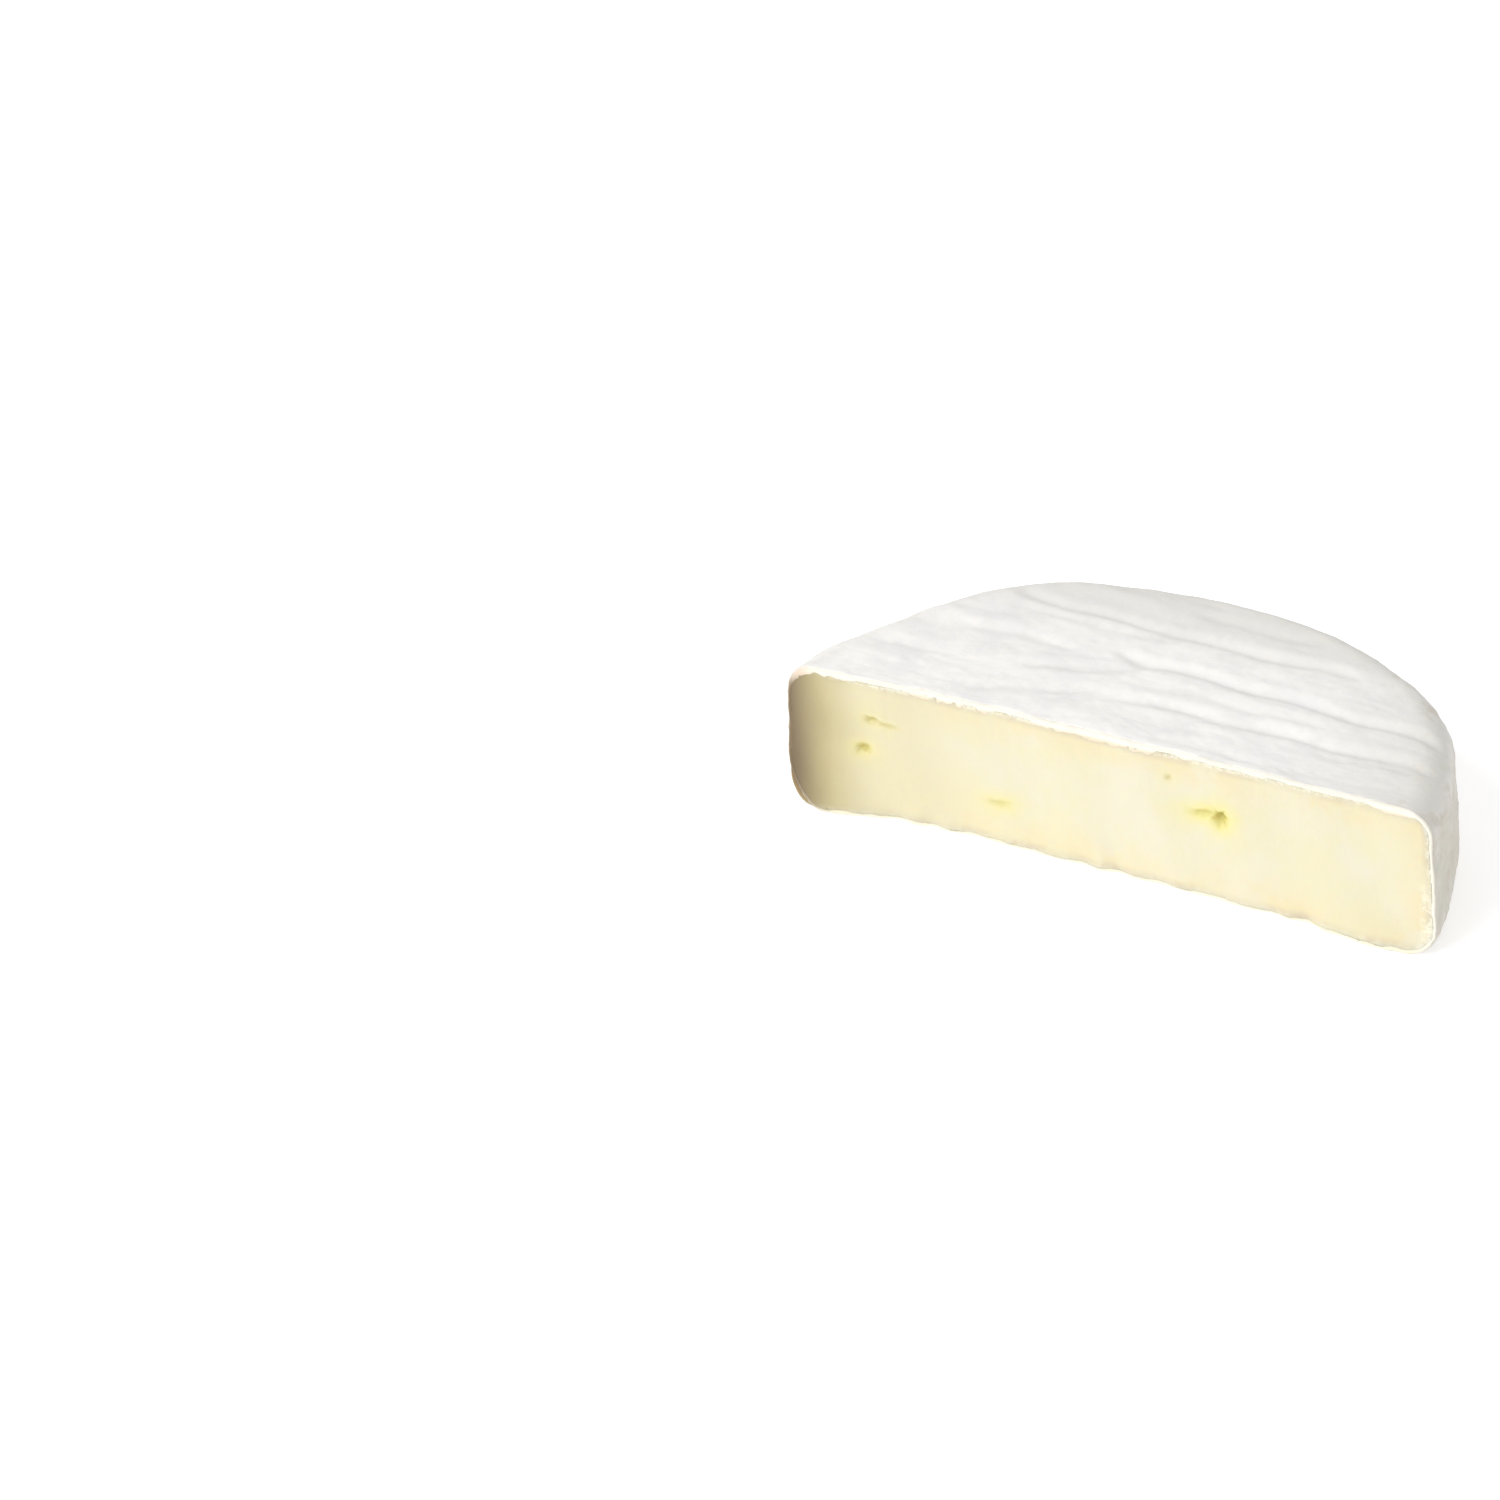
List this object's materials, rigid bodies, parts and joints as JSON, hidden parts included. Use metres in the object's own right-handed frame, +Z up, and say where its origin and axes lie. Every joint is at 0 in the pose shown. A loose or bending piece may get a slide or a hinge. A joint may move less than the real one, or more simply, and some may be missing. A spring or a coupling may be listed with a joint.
{
  "type": "half camembert cheese",
  "caption": "Half of a small round soft-ripened cheese: creased white mould rind outside, flat cut face of pale yellow paste with a few small eyes. Rests on its base.",
  "frame": {"origin": "centre of the bounding box, at the level of the base it rests on", "axes": "+X along the cut, -Y out of the cut face, +Z up through the top rind"},
  "size_m": [0.115, 0.0596, 0.0256],
  "materials": {
    "cheese": "dull velvety white rind, with satin pale yellow paste where it is cut"
  },
  "bodies": {
    "root": {"camembert_half": "cheese"}
  },
  "joints": []
}
